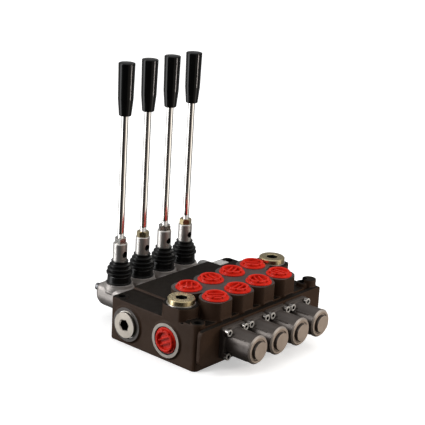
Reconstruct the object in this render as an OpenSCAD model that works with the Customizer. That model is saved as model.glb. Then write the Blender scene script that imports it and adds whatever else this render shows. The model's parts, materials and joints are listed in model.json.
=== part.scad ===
// Four-section hydraulic monoblock directional valve with hand levers.
// X runs along the spools, from the levers (-X) to the spring caps (+X), Y runs along
// the row of sections, and Z is up. The origin is the centre of the rectangle of
// mounting holes, on the underside of the body.

/* [Sections] */
// Distance between neighbouring spools
pitch = 38; // [38:0.5:42]
// Height of the spool axes above the underside
spool_z = 30.5; // [29.5:0.5:31.5]
// Radius of a spool
spool_r = 8; // [7:0.25:8.5]
// Radial clearance of a spool in its bore
spool_fit = 0.03; // [0.01:0.01:0.1]

/* [Body] */
// Height of the main block
block_h = 51; // [49:0.5:53]
// Half the length of the main block along the row
block_y = 103; // [101:0.5:106]
// Lever side of the main block
block_x0 = -68; // [-70:0.5:-66]
// Spring side of the main block, before the groove
block_x1 = 64; // [62:0.5:65]
// Height of the raised deck on the lever side
deck_h = 54; // [52:0.5:56]
// Height of the machined plane of the work ports
port_z = 72.6; // [70:0.1:76]
// Place of the A ports
port_a_x = 9.3; // [8:0.1:11]
// Place of the B ports
port_b_x = 49.5; // [48:0.1:50]
// Radius of a work-port boss
boss_r = 20; // [19.5:0.25:21]

/* [Mounting] */
// Half the spacing of the mounting holes along X
mount_x = 58; // [57:0.5:59]
// Half the spacing of the mounting holes along Y
mount_y = 95; // [94:0.5:96]
// Radius of a mounting hole
mount_r = 4.5; // [4:0.25:5]

/* [Levers] */
// Place of the lever pivots
lever_x = -100.7; // [-102:0.1:-99]
// Height of the lever pivots
pivot_z = 50.5; // [50:0.25:51]
// Height of the top of a knob
knob_top = 312.2; // [280:0.1:330]
// Length of a knob
knob_len = 61.7; // [50:0.1:70]
// Radius of a lever rod
rod_r = 4; // [3.5:0.25:4.5]

/* [Caps] */
// Radius of a spring cap's barrel
cap_r = 16.65; // [16.5:0.05:17.5]
// End face of a spring cap's rim
cap_x = 115.15; // [114:0.05:118]

/* [Hidden] */
$fn = 64;
sections = 4;

over = 1;                      // how far a cutter runs past the face it cuts
gap = 0.05;                    // radial clearance of pieces that are screwed together

// Spring-side wall: a plate with rounded corners, parted from the block by a groove
wall_x0 = 68.5;
wall_x1 = 74;
wall_near = 107;
wall_far = 108.5;
wall_z0 = 11;
wall_z1 = 52;
near_corner = 7;
far_corner = 4;
groove_z = 48;
boss_trim_x = 65.5;

// Top plug bosses at the two ends of the tank gallery, and the corner lugs
tank_x = 20.6;
pump_x = -40.2;
gallery_z = 25;
gallery_r = 7;
near_plug = [25, -86.5, 66.2];
far_plug = [14, 88, 70.5];
plug_boss_r = 20.5;
spot_face_r = 16.8;
lug_r = 8;
lug_tops = [52, 55.5, 56];
corner_boss = [62.5, 100.5, 60.5];
corner_boss_r = 8.5;
corner_pad = [44, 21, 54];

// Threads: G3/4 in the side and top ports, G1/2 in the work ports
g34_r = 13.2;
g12_r = 10.5;
port_depth = 16;
passage_r = 4;

// Plugs and washers
collar_r = 15.5;
collar_h = 6;
side_collar_h = 4;
washer_t = 1.5;
washer_r = 16.2;

// Spring side of a spool
counterbore_r = 12.8;
counterbore_x = 66;
seat_x = 73;
seat_r = 12.4;
seat_t = 2.65;
stem_r = 4;
spring_x0 = 75.7;
spring_x1 = 100;
bolt_head_x = 102.7;
cap_flange_t = 6;
cap_half = 18.5;
cap_screw = 14;
cap_cavity_r = 13.5;
cap_cavity_x = 113.3;

// Lever side
housing_x = -126;
housing_half = 17;
housing_top = 43;
seat_z = 47.5;
cavity_r = 10;
cavity_x = -120;
tongue_r = 6.5;
ball_r = 4;
slot_half = 4.3;
pin_r = 3;
ear_in = 6.5;
ear_out = 9.5;
socket_r = 8.5;
socket_z0 = 60;
socket_z1 = 97;
nut_h = 6.5;
rod_z0 = 90.5;
housing_screw_y = 12.4;
housing_screw_z = 8;
housing_screw_bite = 12;

// Relief valve
relief_y = 83;
relief_z = 36.6;
relief_r = 5.5;
relief_bore = 3.7;
relief_seat_r = 1.9;
relief_seat_x = -54;
relief_cap_r = 8.6;

function section_y(i) = (i - (sections + 1) / 2) * pitch;

// Outline of a rectangle with rounded corners, as points
function arc(cx, cy, r, from) =
    [for (k = [0:6]) [cx + r * cos(from + 15 * k), cy + r * sin(from + 15 * k)]];
function rounded_rect(x0, y0, x1, y1, r) = concat(
    arc(x1 - r, y1 - r, r, 0), arc(x0 + r, y1 - r, r, 90),
    arc(x0 + r, y0 + r, r, 180), arc(x1 - r, y0 + r, r, 270));

// Stand a child that was made along +Z along +X, or along +Y
module along_x(x) { translate([x, 0, 0]) rotate([0, 90, 0]) children(); }
module along_y(y) { translate([0, y, 0]) rotate([-90, 0, 0]) children(); }

// Extrude a YZ outline from x0 to x1
module extrude_x(x0, x1) {
    translate([x0, 0, 0]) rotate([90, 0, 90]) linear_extrude(x1 - x0) children();
}

module at_spool(i) { translate([0, section_y(i), spool_z]) children(); }
module each_spool() { for (i = [1:sections]) at_spool(i) children(); }

module hex(across_flats, h) { cylinder(h = h, r = across_flats / 2 / cos(30), $fn = 6); }

module ring(r_out, r_in, h) {
    difference() {
        cylinder(h = h, r = r_out);
        translate([0, 0, -over]) cylinder(h = h + 2 * over, r = r_in);
    }
}

// The four corners of a square of half side s, in the plane across X
module square_pattern(s) {
    for (y = [-s, s], z = [-s, s]) translate([0, y, z]) children();
}

// Coil spring along Z: a round wire swept along a helix, with flat cut ends
module coil(r, wire_r, h, turns) {
    steps = ceil(turns * 12);
    sides = 6;
    points = [for (s = [0:steps], k = [0:sides - 1])
        let (a = 360 * turns * s / steps, b = 360 * k / sides, d = r + wire_r * cos(b))
        [d * cos(a), d * sin(a), wire_r + (h - 2 * wire_r) * s / steps + wire_r * sin(b)]];
    faces = concat(
        [[for (k = [0:sides - 1]) k]],
        [[for (k = [sides - 1:-1:0]) steps * sides + k]],
        [for (s = [0:steps - 1], k = [0:sides - 1])
            let (a = s * sides + k, b = s * sides + (k + 1) % sides) [a, a + sides, b]],
        [for (s = [0:steps - 1], k = [0:sides - 1])
            let (a = s * sides + k, b = s * sides + (k + 1) % sides) [a + sides, b + sides, b]]);
    polyhedron(points, faces);
}

// ---- Body -------------------------------------------------------------------------

module body_outside() {
    linear_extrude(block_h)
        polygon(rounded_rect(block_x0, -block_y, block_x1, block_y, 6));
    // raised deck behind the levers
    translate([block_x0, -67, block_h - over])
        cube([70, 134, deck_h - block_h + over]);
    // spring-side wall and the web under the groove
    extrude_x(wall_x0, wall_x1) polygon(concat(
        arc(wall_far - far_corner, wall_z1 - far_corner, far_corner, 0),
        arc(-wall_near + near_corner, wall_z1 - near_corner, near_corner, 90),
        arc(-wall_near + near_corner, wall_z0 + near_corner, near_corner, 180),
        arc(wall_far - far_corner, wall_z0 + far_corner, far_corner, 270)));
    translate([block_x1 - 4, -block_y + 3, wall_z0 + 4])
        cube([wall_x0 - block_x1 + 6, 2 * block_y - 6, groove_z - wall_z0 - 4]);
    // work-port bosses, joined by a flat web
    for (i = [1:sections], x = [port_a_x, port_b_x])
        translate([x, section_y(i), block_h - 5])
            cylinder(h = port_z - block_h + 5, r = boss_r);
    translate([port_a_x, section_y(1), block_h - 5])
        cube([port_b_x - port_a_x, (sections - 1) * pitch, port_z - block_h + 5]);
    // bosses of the two top plugs
    for (plug = [near_plug, far_plug])
        translate([plug[0], plug[1], block_h - 5])
            cylinder(h = plug[2] - block_h + 5, r = plug_boss_r);
    // lugs round three of the mounting holes, one on a raised pad, and a boss in the far corner
    places = [[-mount_x, -mount_y], [mount_x, -mount_y], [mount_x, mount_y]];
    for (k = [0:2]) translate([places[k][0], places[k][1], block_h - 10])
        cylinder(h = lug_tops[k] - block_h + 10, r = lug_r);
    translate([corner_pad[0], -block_y, block_h - 10])
        cube([block_x1 - corner_pad[0] - 6, corner_pad[1], corner_pad[2] - block_h + 10]);
    translate([corner_boss[0], corner_boss[1], block_h - 10])
        cylinder(h = corner_boss[2] - block_h + 10, r = corner_boss_r);
}

// Everything that is bored out of the body for one section
module section_bores() {
    along_x(block_x0 - over) cylinder(h = wall_x1 - block_x0 + 2 * over, r = spool_r + spool_fit);
    along_x(counterbore_x) cylinder(h = wall_x1 - counterbore_x + over, r = counterbore_r);
    for (x = [-63, 58]) along_x(x) cylinder(h = 3, r = spool_r + 2.5);
    square_pattern(cap_screw) along_x(block_x1 - 4) cylinder(h = 15, r = 2.5 + gap);
    for (y = [-housing_screw_y, housing_screw_y]) translate([0, y, housing_screw_z])
        along_x(block_x0 - over) cylinder(h = housing_screw_bite + 2 * over, r = 2.5 + gap);
    for (x = [port_a_x, port_b_x]) translate([x, 0, 0]) {
        cylinder(h = port_z - spool_z, r = passage_r);
        translate([0, 0, port_z - spool_z - port_depth]) cylinder(h = port_depth + over, r = g12_r);
    }
}

module valve_body() {
    color([0.16, 0.13, 0.12]) difference() {
        body_outside();
        // the B bosses end flat above the groove, and the plug bosses at the end faces
        translate([boss_trim_x, -80, wall_z1]) cube([20, 160, 40]);
        for (y = [-block_y - 10, block_y]) translate([-20, y, block_h - 6]) cube([70, 10, 46]);
        each_spool() section_bores();
        // pump and tank galleries, with a threaded port at each end
        for (x = [pump_x, tank_x]) translate([x, 0, gallery_z]) {
            along_y(-block_y + 4) cylinder(h = 2 * block_y - 8, r = gallery_r);
            along_y(-block_y - over) cylinder(h = port_depth + over, r = g34_r + gap);
            along_y(block_y - port_depth) cylinder(h = port_depth + over, r = g34_r + gap);
        }
        // top ports, down to the tank gallery
        for (plug = [near_plug, far_plug]) translate([plug[0], plug[1], 0]) {
            translate([0, 0, gallery_z]) cylinder(h = plug[2] - gallery_z, r = gallery_r - 1);
            translate([0, 0, plug[2] - port_depth])
                cylinder(h = port_depth + over, r = g34_r + gap);
            translate([0, 0, plug[2]]) cylinder(h = 20, r = spot_face_r);
        }
        // relief cartridge bore, and its passage to the pump gallery
        translate([0, relief_y, relief_z]) {
            along_x(block_x0 - over) cylinder(h = relief_seat_x - block_x0 + over, r = relief_r + gap);
            along_x(relief_seat_x - over) cylinder(h = pump_x - relief_seat_x + over, r = 2);
        }
        translate([pump_x, relief_y, gallery_z]) cylinder(h = relief_z - gallery_z, r = 2);
        for (x = [-mount_x, mount_x], y = [-mount_y, mount_y])
            translate([x, y, -over]) cylinder(h = 70, r = mount_r);
    }
}

module nameplate() {
    color([0.82, 0.82, 0.80]) difference() {
        translate([-65.5, 69, block_h]) cube([13, 19, 0.8]);
        for (y = [71.5, 85.5]) translate([-59, y, block_h - over]) cylinder(h = 3, r = 1.05);
    }
}

module nameplate_rivets() {
    color("silver") for (y = [71.5, 85.5]) translate([-59, y, block_h]) {
        cylinder(h = 0.8, r = 1);
        translate([0, 0, 0.8]) cylinder(h = 0.7, r = 1.6);
    }
}

// ---- Plugs and protective caps ------------------------------------------------------

// Red plastic cap: a stem in the port, a stepped rim, and a recess with two ribs
module protective_cap(stem_r) {
    rim_r = 15.4;
    rotate_extrude() polygon([
        [0, -9], [stem_r, -9], [stem_r, 0], [rim_r, 0], [rim_r, 1.6], [12.6, 5],
        [10.4, 5], [9.4, 3.4], [9.4, 1.2], [0, 1.2]]);
    for (x = [-3.2, 3.2]) translate([x - 0.8, -6.5, 1]) cube([1.6, 13, 2.6]);
}

// Each cap was pressed in at its own turn
cap_turn_a = [40, 75, 20, -35];
cap_turn_b = [-40, 10, 60, 95];

module work_port_caps_a() {
    color("red") for (i = [1:sections])
        translate([port_a_x, section_y(i), port_z]) rotate(cap_turn_a[i - 1])
            protective_cap(g12_r - 0.2);
}

module work_port_caps_b() {
    color("red") for (i = [1:sections])
        translate([port_b_x, section_y(i), port_z]) rotate(cap_turn_b[i - 1])
            protective_cap(g12_r - 0.2);
}

module side_port_cap() {
    color("red") translate([tank_x, 0, gallery_z]) along_y(-block_y) rotate([180, 0, 0])
        rotate(30) protective_cap(12.4);
}

// Hexagon-socket screw plug standing on its sealing washer
module socket_plug(collar, edge) {
    difference() {
        union() {
            translate([0, 0, washer_t]) cylinder(h = collar - edge, r = collar_r);
            translate([0, 0, washer_t + collar - edge])
                cylinder(h = edge, r1 = collar_r, r2 = collar_r - edge);
            translate([0, 0, -12]) cylinder(h = 12 + washer_t + over, r = g34_r);
        }
        translate([0, 0, washer_t + collar - 9]) hex(12, 9 + over);
    }
}

module side_plug() { socket_plug(side_collar_h, 0.6); }

module side_port_plug() {
    color("silver") translate([pump_x, 0, gallery_z]) along_y(-block_y) rotate([180, 0, 0])
        side_plug();
}

module end_plugs() {
    color("silver") for (x = [pump_x, tank_x])
        translate([x, 0, gallery_z]) along_y(block_y) side_plug();
}

module top_port_plugs() {
    color("gold") {
        translate(near_plug) rotate(15) socket_plug(collar_h, 1);
        translate(far_plug) socket_plug(collar_h, 1);
    }
}

module washer() { ring(washer_r, g34_r + gap, washer_t); }

module plug_washers() {
    color("lightgray") {
        for (plug = [near_plug, far_plug]) translate(plug) washer();
        translate([pump_x, -block_y, gallery_z]) rotate([90, 0, 0]) washer();
        for (x = [pump_x, tank_x])
            translate([x, block_y, gallery_z]) rotate([-90, 0, 0]) washer();
    }
}

// ---- Spring side --------------------------------------------------------------------

module spring_cap(i) {
    color([0.24, 0.22, 0.22]) at_spool(i) difference() {
        union() {
            extrude_x(wall_x1, wall_x1 + cap_flange_t)
                polygon(rounded_rect(-cap_half, -cap_half, cap_half, cap_half, 4.5));
            along_x(wall_x1 + over) cylinder(h = cap_x - wall_x1 - 3 - over, r = cap_r);
            along_x(cap_x - 3) cylinder(h = 3, r1 = cap_r, r2 = cap_r - 2.4);
            along_x(cap_x - over) cylinder(h = 3.25 + over, r = 10.4);
            // two cast lines along the barrel
            for (a = [42, 138]) rotate([a, 0, 0]) translate([0, cap_r - 0.4, 0])
                along_x(wall_x1 + over) cylinder(h = 36, r = 1.1);
        }
        along_x(wall_x1 - over) cylinder(h = cap_cavity_x - wall_x1 + over, r = cap_cavity_r);
        square_pattern(cap_screw) along_x(wall_x1 - over) cylinder(h = 12, r = 2.75);
        square_pattern(cap_screw) along_x(wall_x1 + cap_flange_t) cylinder(h = 7, r = 4.6);
    }
}

// Hexagon-socket cap screw with its head's underside at zero and the shank below
module cap_screw_m5(shank) {
    difference() {
        union() {
            cylinder(h = 5, r = 4.25);
            translate([0, 0, -shank]) cylinder(h = shank + over, r = 2.5);
        }
        translate([0, 0, 2.5]) hex(4, 5);
    }
}

module spring_cap_screws() {
    color("silver") each_spool() square_pattern(cap_screw)
        along_x(wall_x1 + cap_flange_t) cap_screw_m5(18);
}

// Spool: four lands with metering grooves, a slotted tongue for the lever's ball, and a
// tapped hole for the guide bolt
module spool(i) {
    color("silver") at_spool(i) difference() {
        union() {
            along_x(block_x0 + 1) cylinder(h = seat_x - block_x0 - 1, r = spool_r);
            along_x(-108) cylinder(h = 108 + block_x0 + 2, r = tongue_r);
        }
        for (x = [-50, -6, 22, 38]) along_x(x) ring(spool_r + over, 5.5, 9);
        along_x(seat_x - 12) cylinder(h = 13, r = stem_r + gap);
        // open slot and flat top
        translate([lever_x - slot_half, -10, -ball_r - 0.5]) cube([2 * slot_half, 20, 20]);
        translate([-109, -10, 3]) cube([20, 20, 10]);
    }
}

module centering_spring(i) {
    color("darkgray") at_spool(i) along_x(spring_x0 + 0.1) coil(9.6, 1.1, spring_x1 - spring_x0 - 0.2, 5.5);
}

// Two spring seats and the bolt that holds them on the spool's end
module spring_guide(i) {
    color("gray") at_spool(i) {
        for (x = [seat_x, spring_x1]) along_x(x) ring(seat_r, stem_r + gap, seat_t);
        along_x(seat_x - 11) cylinder(h = bolt_head_x - seat_x + 11, r = stem_r);
        along_x(bolt_head_x) hex(11, 4.3);
    }
}

module spool_seals() {
    color([0.1, 0.1, 0.1]) each_spool() for (x = [-61.5, 59.5]) along_x(x)
        rotate_extrude() translate([spool_r + 0.05 + 1.15, 0]) circle(r = 1.15);
}

// ---- Lever side -----------------------------------------------------------------------

// Cast housing: straight sides, a round underside and a rounded free end, bored for the
// spool's tongue, with a round seat for the boot and two ears that hold the pivot pin
module lever_housing(i) {
    color([0.72, 0.70, 0.69]) translate([0, section_y(i), 0]) difference() {
        union() {
            intersection() {
                translate([0, 0, spool_z]) union() {
                    along_x(housing_x) cylinder(h = block_x0 - housing_x, r = housing_half);
                    translate([housing_x, -housing_half, 0])
                        cube([block_x0 - housing_x, 2 * housing_half, housing_top - spool_z]);
                }
                linear_extrude(60)
                    polygon(rounded_rect(housing_x, -housing_half - 9, block_x0 + 20, housing_half + 9, 18));
                translate([0, 30, 0]) rotate([90, 0, 0]) linear_extrude(60)
                    polygon(rounded_rect(housing_x, 8, block_x0 + 20, housing_top, 5));
            }
            translate([lever_x, 0, housing_top - over])
                cylinder(h = seat_z - housing_top + over, r = 16.5);
            translate([lever_x, 0, seat_z - over]) ring(12.2, 11, 2.5 + over);
            for (y = [-ear_out, ear_in]) translate([lever_x - 5, y, seat_z - over])
                cube([10, ear_out - ear_in, 9]);
        }
        translate([0, 0, spool_z]) along_x(cavity_x)
            cylinder(h = block_x0 - cavity_x + over, r = cavity_r);
        translate([lever_x - 8.5, -ear_in, spool_z]) cube([17, 2 * ear_in, 40]);
        translate([lever_x, 0, pivot_z]) along_y(-20) cylinder(h = 40, r = pin_r);
        for (y = [-housing_screw_y, housing_screw_y]) translate([0, y, spool_z + housing_screw_z]) {
            along_x(housing_x - over) cylinder(h = 70, r = 2.5 + gap);
            along_x(housing_x - over) cylinder(h = 6 + over, r = 4.4);
        }
    }
}

module housing_screws() {
    color("silver") for (i = [1:sections], y = [-housing_screw_y, housing_screw_y])
        translate([housing_x + 6, section_y(i) + y, spool_z + housing_screw_z])
            rotate([0, -90, 0]) cap_screw_m5(block_x0 - housing_x - 6 + housing_screw_bite);
}

module pivot_pins() {
    color("silver") for (i = [1:sections])
        translate([lever_x, section_y(i), pivot_z]) along_y(-ear_out + 0.1)
            cylinder(h = 2 * ear_out - 0.2, r = pin_r);
}

// Rubber bellows: half its section, from the seat up to the neck round the lever socket
boot_outside = [
    [14.3, seat_z], [14.3, 57.5], [13.6, 58.3], [15.3, 60.2], [15.3, 61.8], [12.6, 63.4],
    [14.2, 65], [14.2, 66.4], [10.6, 67.8], [11.8, 69.4], [11.8, 70.6], [10, 72], [10, 75.5]];
boot_inside = [
    [8.6, 75.5], [8.6, 70.9], [10.3, 70], [9.1, 68], [9.1, 67.2], [12.6, 65.8], [11.1, 64],
    [11.1, 62.8], [13.7, 61], [12.4, 59], [12.4, seat_z]];

module rubber_boot(i) {
    color([0.06, 0.06, 0.06]) translate([lever_x, section_y(i), 0])
        rotate_extrude() polygon(concat(boot_outside, boot_inside));
}

module at_lever(i) { translate([lever_x, section_y(i), 0]) children(); }

// Lower part of a lever: ball, neck, pivot eye and the tube that takes the rod
module lever_socket(i) {
    eye_half = ear_in - 0.4;
    color("silver") at_lever(i) difference() {
        union() {
            translate([0, 0, spool_z]) sphere(r = ball_r);
            translate([0, 0, spool_z]) cylinder(h = pivot_z - spool_z, r = 2.6);
            translate([0, 0, pivot_z]) along_y(-eye_half) cylinder(h = 2 * eye_half, r = 5);
            translate([0, 0, pivot_z]) cylinder(h = socket_z0 - pivot_z, r = 4.6);
            translate([0, 0, socket_z0 - 3]) cylinder(h = 3, r1 = 4.6, r2 = socket_r);
            translate([0, 0, socket_z0]) cylinder(h = socket_z1 - socket_z0, r = socket_r);
        }
        translate([0, 0, pivot_z]) along_y(-10) cylinder(h = 20, r = pin_r + 0.04);
        translate([0, 0, rod_z0 - 2.5]) cylinder(h = 20, r = rod_r + gap);
        translate([0, 0, 84]) along_x(-20) cylinder(h = 40, r = 3.5);
    }
}

module lever_lock_nut(i) {
    color(i % 2 == 0 ? "gold" : "silver") at_lever(i) translate([0, 0, socket_z1])
        difference() {
            hex(13, nut_h);
            translate([0, 0, -over]) cylinder(h = nut_h + 2 * over, r = rod_r + gap);
        }
}

module lever_rod(i) {
    color("silver") at_lever(i) translate([0, 0, rod_z0])
        cylinder(h = knob_top - 35 - rod_z0, r = rod_r);
}

module lever_knob(i) {
    z0 = knob_top - knob_len;
    color([0.05, 0.05, 0.05]) at_lever(i) difference() {
        rotate_extrude() polygon([
            [0, z0], [6.4, z0], [7.2, z0 + 0.8], [8.1, z0 + 11], [9.3, z0 + 21.5], [9.5, z0 + 30],
            [9.5, knob_top - 2.5], [8.8, knob_top - 1], [6.5, knob_top], [0, knob_top]]);
        translate([0, 0, z0 - over]) cylinder(h = knob_len - 34 + over, r = rod_r + gap);
    }
}

// ---- Relief valve -----------------------------------------------------------------------

module at_relief(x) { translate([x, relief_y, relief_z]) rotate([0, 90, 0]) children(); }

// Cartridge: a nose in the body with a seat at its end, and a hexagon collar outside
module relief_body() {
    nose = relief_seat_x - block_x0;
    color("silver") difference() {
        union() {
            at_relief(block_x0 - over) cylinder(h = nose + over, r = relief_r);
            at_relief(block_x0 - 3) cylinder(h = 3, r = 8.3);
            at_relief(block_x0 - 10) hex(14, 7);
        }
        at_relief(block_x0 - 11) cylinder(h = nose + 11 - 3, r = relief_bore);
        at_relief(relief_seat_x - 4) cylinder(h = 6, r = relief_seat_r);
    }
}

module relief_poppet() {
    color("dimgray") {
        at_relief(relief_seat_x - 6.8) cylinder(h = 2.2, r = relief_bore - 0.3);
        at_relief(relief_seat_x - 4.6) cylinder(h = 1.8, r1 = relief_bore - 0.3, r2 = 1.6);
        at_relief(relief_seat_x - 11) cylinder(h = 4.4, r = 1.6);
    }
}

module relief_spring() {
    color("darkgray") at_relief(block_x0 - 4.9) coil(2.9, 0.45, 12, 8);
}

module relief_adjuster() {
    color("silver") difference() {
        at_relief(block_x0 - 22) cylinder(h = 17, r = relief_bore - gap);
        at_relief(block_x0 - 22 - over) hex(4, 4 + over);
    }
}

module relief_lock_nut() {
    color("silver") difference() {
        at_relief(block_x0 - 15.2) hex(13, 5);
        at_relief(block_x0 - 15.2 - over) cylinder(h = 7, r = relief_bore);
    }
}

// Domed cap over the adjusting screw and its lock nut
module relief_cap() {
    color("silver") at_relief(block_x0 - 29.8) rotate_extrude() polygon([
        [0, 0], [3.4, 0.6], [6, 2.2], [7.8, 4.8], [relief_cap_r, 8], [relief_cap_r, 19.6],
        [7.55, 19.6], [7.55, 7], [0, 7]]);
}

valve_body();
nameplate();
nameplate_rivets();
work_port_caps_a();
work_port_caps_b();
side_port_cap();
side_port_plug();
end_plugs();
top_port_plugs();
plug_washers();
spring_cap_screws();
housing_screws();
pivot_pins();
spool_seals();
relief_body();
relief_adjuster();
relief_lock_nut();
relief_cap();
relief_spring();
relief_poppet();
for (i = [1:sections]) {
    spring_cap(i);
    lever_housing(i);
    rubber_boot(i);
    spool(i);
    centering_spring(i);
    spring_guide(i);
    lever_socket(i);
    lever_lock_nut(i);
    lever_rod(i);
    lever_knob(i);
}
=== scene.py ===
# Four-section hydraulic monoblock valve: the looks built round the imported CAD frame.
# Shapes are made in millimetres in the row's frame and turned into metres in piece().

import json
import math

import bmesh
import bpy
import numpy as np
from mathutils import Matrix, Vector

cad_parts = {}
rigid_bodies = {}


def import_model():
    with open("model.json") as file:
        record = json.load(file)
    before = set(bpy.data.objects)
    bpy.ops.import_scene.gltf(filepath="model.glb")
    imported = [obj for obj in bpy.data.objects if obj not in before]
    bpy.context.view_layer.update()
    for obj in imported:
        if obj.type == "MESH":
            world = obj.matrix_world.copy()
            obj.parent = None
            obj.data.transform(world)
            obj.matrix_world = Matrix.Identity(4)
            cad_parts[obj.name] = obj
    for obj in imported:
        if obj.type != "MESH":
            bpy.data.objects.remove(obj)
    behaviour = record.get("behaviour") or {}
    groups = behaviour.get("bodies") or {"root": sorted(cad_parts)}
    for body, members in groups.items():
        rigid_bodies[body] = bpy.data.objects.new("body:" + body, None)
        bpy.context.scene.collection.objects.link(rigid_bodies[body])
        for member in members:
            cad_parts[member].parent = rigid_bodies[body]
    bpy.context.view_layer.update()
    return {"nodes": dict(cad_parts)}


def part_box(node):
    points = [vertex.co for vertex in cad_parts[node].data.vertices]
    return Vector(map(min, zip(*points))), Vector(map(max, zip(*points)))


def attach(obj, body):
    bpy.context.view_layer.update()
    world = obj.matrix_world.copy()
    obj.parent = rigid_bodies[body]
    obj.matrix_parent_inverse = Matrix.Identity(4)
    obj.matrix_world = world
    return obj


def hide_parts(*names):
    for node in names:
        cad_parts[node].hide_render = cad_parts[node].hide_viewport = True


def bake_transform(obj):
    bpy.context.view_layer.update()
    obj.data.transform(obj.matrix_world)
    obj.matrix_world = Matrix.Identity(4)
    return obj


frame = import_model()

# ---- Measures taken from the CAD nodes, in millimetres ----


def corners(node):
    """The two corners of a CAD node's box, in millimetres."""
    lo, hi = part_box(node)
    return lo * 1000, hi * 1000


def middle(node):
    lo, hi = corners(node)
    return (lo + hi) / 2


SECTIONS = (1, 2, 3, 4)
BODY_LO, BODY_HI = corners("valve_body")
ROW_Y = {i: middle(f"spring_cap_{i}").y for i in SECTIONS}
SPOOL_Z = middle("spring_guide_1").z
SPOOL_R = 8.03
PORT_Z = BODY_HI.z
PORT_A_X = middle("work_port_caps_a").x
PORT_B_X = middle("work_port_caps_b").x
TANK_X = middle("side_port_cap").x
PUMP_X = middle("side_port_plug").x
GALLERY_Z = middle("side_port_cap").z
LEVER_X = middle("lever_rod_1").x
PIVOT_Z = middle("pivot_pins").z
WALL_X = BODY_HI.x
BLOCK_X0 = BODY_LO.x
BLOCK_X1 = WALL_X - 10
BLOCK_Y = -BODY_LO.y - 4
BLOCK_H = corners("nameplate")[0].z
DECK_H = BLOCK_H + 3
GROOVE_Z = BLOCK_H - 3
WALL_BOTTOM = 11
WALL_TOP = 52
DECK_Y = 67
COLLAR_R = 15.5
PLUGS_LO, PLUGS_HI = corners("top_port_plugs")
NEAR_PLUG = Vector((PLUGS_HI.x - COLLAR_R, PLUGS_LO.y + COLLAR_R, PLUGS_HI.z - 11.8))
FAR_PLUG = Vector((PLUGS_LO.x + COLLAR_R, PLUGS_HI.y - COLLAR_R, PLUGS_HI.z - 7.5))
MOUNT_X = 58
MOUNT_Y = 95
MOUNT_R = 4.5
# each lug's x, y, radius and top
LUGS = ((-MOUNT_X, -MOUNT_Y, 8, 52), (MOUNT_X, -MOUNT_Y, 8, 55.5), (MOUNT_X, MOUNT_Y, 8, 56),
        (BODY_HI.x - 11.5, BODY_HI.y - 8.5, 8.5, 60.5))
# how far the pads of the side ports stand out of the end faces
PAD = 1.2
BOSS_A_R = 20
BOSS_B_R = 18.8
PLUG_BOSS_R = 20.5
WORK_PORT_R = 10.5
SIDE_PORT_R = 13.25
PORT_DEPTH = 16
PASSAGE_R = 4
GALLERY_R = 7
COUNTERBORE_R = 12.8
SCREW_HOLE_R = 2.55
# the spring caps' screws stand on a square of twice this side, round the spool
CAP_SCREW = 14
HOUSING_SCREW_Y = 12.4
HOUSING_SCREW_Z = SPOOL_Z + 8
SIDE_PORTS = [(x, side) for x in (PUMP_X, TANK_X) for side in (-1, 1)]
RELIEF = Vector((BLOCK_X0, middle("relief_body").y, middle("relief_body").z))

# ---- Mesh kit ----


def mesh_from(points, faces, material=None):
    """A mesh with outward normals from plain points and faces."""
    mesh = bpy.data.meshes.new("shape")
    mesh.from_pydata([tuple(p) for p in points], [], faces)
    bm = bmesh.new()
    bm.from_mesh(mesh)
    bmesh.ops.recalc_face_normals(bm, faces=bm.faces)
    bm.to_mesh(mesh)
    bm.free()
    if material is not None:
        mesh.materials.append(material)
    return mesh


def softened(points, radius, steps=4, closed=False):
    """The outline with each corner drawn as a small curve. A point may carry its own radius third."""
    count = len(points)
    result = []
    for k, point in enumerate(points):
        own = point[2] if len(point) > 2 else radius
        if own <= 0 or (not closed and k in (0, count - 1)):
            result.append((point[0], point[1]))
            continue
        here = Vector(point[:2])
        before = Vector(points[k - 1][:2]) - here
        after = Vector(points[(k + 1) % count][:2]) - here
        turn = before.angle(after, math.pi)
        if turn > math.radians(176):
            result.append((point[0], point[1]))
            continue
        reach = min(own / math.tan(turn / 2), 0.45 * before.length, 0.45 * after.length)
        start = here + before.normalized() * reach
        end = here + after.normalized() * reach
        for s in range(steps + 1):
            t = s / steps
            p = start * (1 - t) ** 2 + here * 2 * t * (1 - t) + end * t ** 2
            result.append((p.x, p.y))
    return result


def lathe(profile, material=None, segments=96, turn=0.0):
    """Turns (r, z) points about Z. Points on the axis close the shape; otherwise it is a ring."""
    points = []
    rings = []
    for r, z in profile:
        if r < 1e-6:
            rings.append([len(points)])
            points.append((0, 0, z))
            continue
        rings.append(list(range(len(points), len(points) + segments)))
        for s in range(segments):
            a = turn + 2 * math.pi * s / segments
            points.append((r * math.cos(a), r * math.sin(a), z))
    starts_on_axis = len(rings[0]) == 1
    pairs = list(zip(rings, rings[1:]))
    if not starts_on_axis:
        pairs.append((rings[-1], rings[0]))
    faces = []
    for low, high in pairs:
        for s in range(segments):
            t = (s + 1) % segments
            if len(low) == 1 and len(high) == 1:
                continue
            if len(low) == 1:
                faces.append((low[0], high[t], high[s]))
            elif len(high) == 1:
                faces.append((low[s], low[t], high[0]))
            else:
                faces.append((low[s], low[t], high[t], high[s]))
    return mesh_from(points, faces, material)


def loft(rings, material=None):
    """Joins rings of the same number of points, with a cap on each end."""
    count = len(rings[0])
    points = [p for ring in rings for p in ring]
    faces = [tuple(range(count)), tuple(range(len(points) - count, len(points)))]
    for k in range(len(rings) - 1):
        for s in range(count):
            t = (s + 1) % count
            faces.append((k * count + s, k * count + t, (k + 1) * count + t, (k + 1) * count + s))
    return mesh_from(points, faces, material)


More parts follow.
